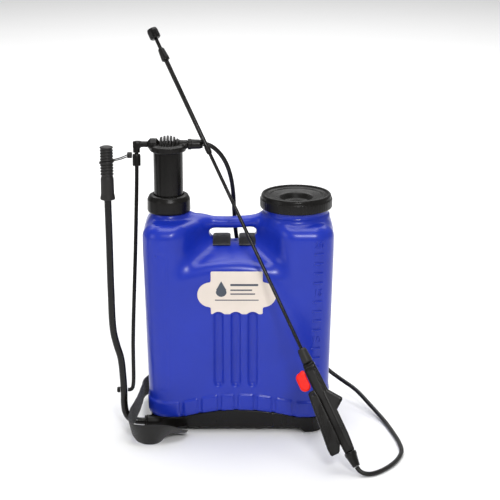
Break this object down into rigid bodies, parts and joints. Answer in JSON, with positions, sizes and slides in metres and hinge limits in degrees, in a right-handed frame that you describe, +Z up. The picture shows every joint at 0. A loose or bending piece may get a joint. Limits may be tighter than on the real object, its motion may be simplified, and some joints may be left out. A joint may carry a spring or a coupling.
{
  "type": "backpack sprayer",
  "caption": "Knapsack sprayer: blow-moulded tank with side pump lever, piston pump, screw filler cap, carrying straps and a telescopic trigger lance on a hose.",
  "frame": {"origin": "on the floor, under the middle of the bounding box measured without the free hose", "axes": "+Z up, +X to the right across the tank's width, +Y towards the wearer's back"},
  "size_m": [0.603, 0.4151, 0.8114],
  "materials": {
    "blue_tank": "glossy blow-moulded polyethylene",
    "black_plastic": "satin injection-moulded black",
    "black_tube": "black coated tube",
    "hose_rubber": "matt black hose",
    "webbing": "woven black webbing",
    "pad_fabric": "padded black cloth",
    "red_plastic": "red moulded plastic",
    "label": "printed cream label",
    "steel": "plain steel",
    "clear_plastic": "natural plastic",
    "rubber": "black rubber"
  },
  "bodies": {
    "tank": {"tank_shell": "blue_tank", "label_plate": "label", "base_stand": "black_plastic", "lever_bush": "black_plastic", "pump_barrel": "clear_plastic", "barrel_gasket": "rubber", "collar_nut": "black_plastic", "inlet_valve_seat": "black_plastic", "filter_basket": "black_plastic", "top_webbing_left": "webbing", "top_webbing_right": "webbing", "shoulder_pad_left": "pad_fabric", "shoulder_pad_right": "pad_fabric", "strap_adjuster_left": "black_plastic", "strap_adjuster_right": "black_plastic", "lower_webbing_left": "webbing", "lower_webbing_right": "webbing", "lance_handle": "black_plastic", "trigger_pin": "steel", "valve_spring": "steel", "tail_nut": "black_plastic", "lance_nut": "black_plastic", "inner_tube": "black_tube", "supply_hose": "hose_rubber", "base_screw_1": "steel", "base_screw_2": "steel", "base_screw_3": "steel", "base_screw_4": "steel"},
    "air_chamber": {"air_chamber": "black_plastic", "piston_seal": "rubber", "chamber_cap": "black_plastic", "hose_nut": "black_plastic"},
    "link": {"link_elbow": "black_plastic", "rod_sleeve": "black_plastic", "link_rod": "steel"},
    "pump_lever": {"pump_lever": "black_tube", "lever_grip": "rubber", "axle_clip": "steel", "link_pin": "steel", "retaining_tie": "black_plastic"},
    "inlet_ball": {"inlet_valve_ball": "steel"},
    "cap_carrier": {"cap_seal": "rubber"},
    "filler_cap": {"filler_cap": "black_plastic", "cap_vent": "rubber"},
    "trigger": {"trigger_lever": "black_plastic"},
    "plunger": {"valve_plunger": "steel"},
    "latch": {"trigger_latch": "red_plastic"},
    "lance_tube": {"outer_tube": "black_tube", "tip_nut": "black_plastic", "nozzle_stem": "black_plastic"},
    "clamp_collar": {"clamp_collar": "black_plastic"},
    "nozzle": {"nozzle_cap": "red_plastic"}
  },
  "joints": [
    {"name": "pump_stroke", "type": "hinge", "parent": "tank", "child": "pump_lever", "pos_m": [-0.21157, 0.01469, 0.019], "axis": [-1, 0, 0], "range_deg": [0, 90]},
    {"name": "piston_slide", "type": "slide", "parent": "tank", "child": "air_chamber", "axis": [0, 0, -1], "range_m": [0, 0.0647]},
    {"name": "link_swing", "type": "hinge", "parent": "air_chamber", "child": "link", "pos_m": [-0.15757, 0.08869, 0.588], "axis": [1, 0, 0], "range_deg": [0, 8.1]},
    {"name": "inlet_ball_lift", "type": "slide", "parent": "tank", "child": "inlet_ball", "axis": [0, 0, 1], "range_m": [0, 0.005]},
    {"name": "cap_lift", "type": "slide", "parent": "tank", "child": "cap_carrier", "axis": [0, 0, 1], "range_m": [0, 0.09]},
    {"name": "cap_turn", "type": "hinge", "parent": "cap_carrier", "child": "filler_cap", "pos_m": [0.13543, 0.08869, 0.47], "axis": [0, 0, 1], "range_deg": [0, 360]},
    {"name": "trigger_squeeze", "type": "hinge", "parent": "tank", "child": "trigger", "pos_m": [0.1652, -0.13868, 0.14221], "axis": [-0.057, -0.9142, 0.4012], "range_deg": [0, 8], "stiffness_Nm_per_rad": 1.5, "springref_deg": -8.59},
    {"name": "plunger_slide", "type": "slide", "parent": "tank", "child": "plunger", "axis": [-0.4206, 0.3864, 0.8208], "range_m": [0, 0.003]},
    {"name": "latch_slide", "type": "slide", "parent": "tank", "child": "latch", "axis": [-0.4206, 0.3864, 0.8208], "range_m": [0, 0.006]},
    {"name": "lance_extend", "type": "slide", "parent": "tank", "child": "lance_tube", "axis": [-0.4206, 0.3864, 0.8208], "range_m": [-0.15, 0]},
    {"name": "clamp_turn", "type": "hinge", "parent": "lance_tube", "child": "clamp_collar", "pos_m": [-0.04131, 0.06679, 0.58108], "axis": [-0.4206, 0.3864, 0.8208], "range_deg": [0, 90]},
    {"name": "nozzle_turn", "type": "hinge", "parent": "lance_tube", "child": "nozzle", "pos_m": [-0.15151, 0.16804, 0.79613], "axis": [-0.4206, 0.3864, 0.8208], "range_deg": [0, 180]}
  ],
  "couplings": [
    {"joint": "piston_slide", "follows": "pump_stroke", "m_per_rad": 0.041099},
    {"joint": "link_swing", "follows": "pump_stroke", "ratio": 0.088677},
    {"joint": "plunger_slide", "follows": "trigger_squeeze", "m_per_rad": 0.02}
  ]
}
